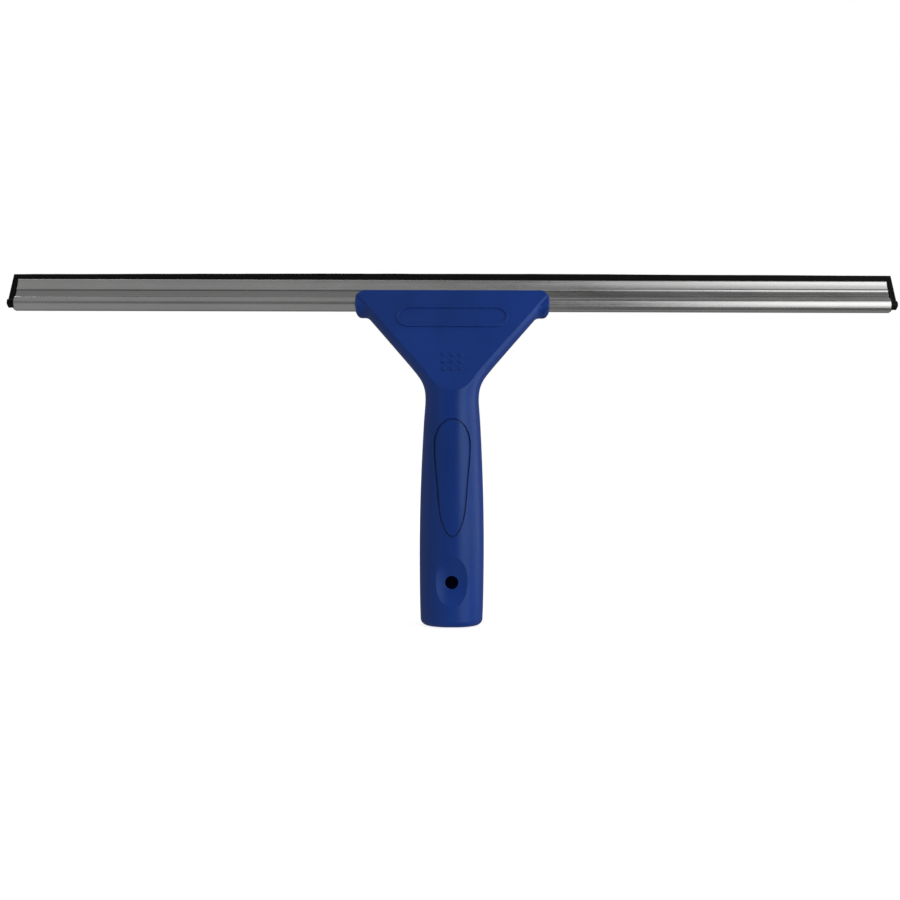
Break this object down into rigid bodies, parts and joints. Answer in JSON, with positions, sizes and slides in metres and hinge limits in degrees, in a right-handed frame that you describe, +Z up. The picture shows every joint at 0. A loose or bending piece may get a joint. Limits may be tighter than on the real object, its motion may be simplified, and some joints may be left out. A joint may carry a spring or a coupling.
{
  "type": "window squeegee",
  "caption": "Window squeegee: moulded plastic handle with pole socket and clamp jaw holding an aluminium channel and rubber blade.",
  "frame": {"origin": "centre of the pole socket's mouth, at the grip's lower end", "axes": "+X along the blade, -Y the handle's front face, +Z up the grip towards the blade"},
  "size_m": [0.457, 0.0467, 0.1785],
  "materials": {
    "blue_plastic": "satin moulded",
    "screw_steel": "zinc plated",
    "channel_aluminium": "extruded, satin",
    "black_rubber": "smooth cut rubber",
    "clip_plastic": "moulded"
  },
  "bodies": {
    "handle_body": {"handle": "blue_plastic"},
    "clamp": {"rear_clamp_plate": "blue_plastic"},
    "left_screw": {"left_clamp_screw": "screw_steel"},
    "right_screw": {"right_clamp_screw": "screw_steel"},
    "channel": {"blade_channel": "channel_aluminium"},
    "rubber": {"rubber_blade": "black_rubber"},
    "left_clip": {"left_end_clip": "clip_plastic"},
    "right_clip": {"right_end_clip": "clip_plastic"}
  },
  "joints": [
    {"name": "clamp_release", "type": "slide", "parent": "handle_body", "child": "clamp", "axis": [0, 0.866, -0.5], "range_m": [0, 0.0019]},
    {"name": "left_screw_turn", "type": "hinge", "parent": "clamp", "child": "left_screw", "pos_m": [-0.02, 0.01814, 0.14804], "axis": [0, 0.866, -0.5], "range_deg": [0, 540]},
    {"name": "right_screw_turn", "type": "hinge", "parent": "clamp", "child": "right_screw", "pos_m": [0.02, 0.01814, 0.14804], "axis": [0, 0.866, -0.5], "range_deg": [0, 540]},
    {"name": "channel_slide", "type": "slide", "parent": "handle_body", "child": "channel", "axis": [1, 0, 0], "range_m": [-0.275, 0.275]},
    {"name": "rubber_slide", "type": "slide", "parent": "channel", "child": "rubber", "axis": [1, 0, 0], "range_m": [-0.454, 0.454]},
    {"name": "left_clip_slide", "type": "slide", "parent": "channel", "child": "left_clip", "axis": [-1, 0, 0], "range_m": [0, 0.02]},
    {"name": "right_clip_slide", "type": "slide", "parent": "channel", "child": "right_clip", "axis": [1, 0, 0], "range_m": [0, 0.02]}
  ],
  "couplings": [
    {"joint": "left_screw_turn", "follows": "clamp_release", "rad_per_m": 4947.4},
    {"joint": "right_screw_turn", "follows": "clamp_release", "rad_per_m": 4947.4}
  ]
}
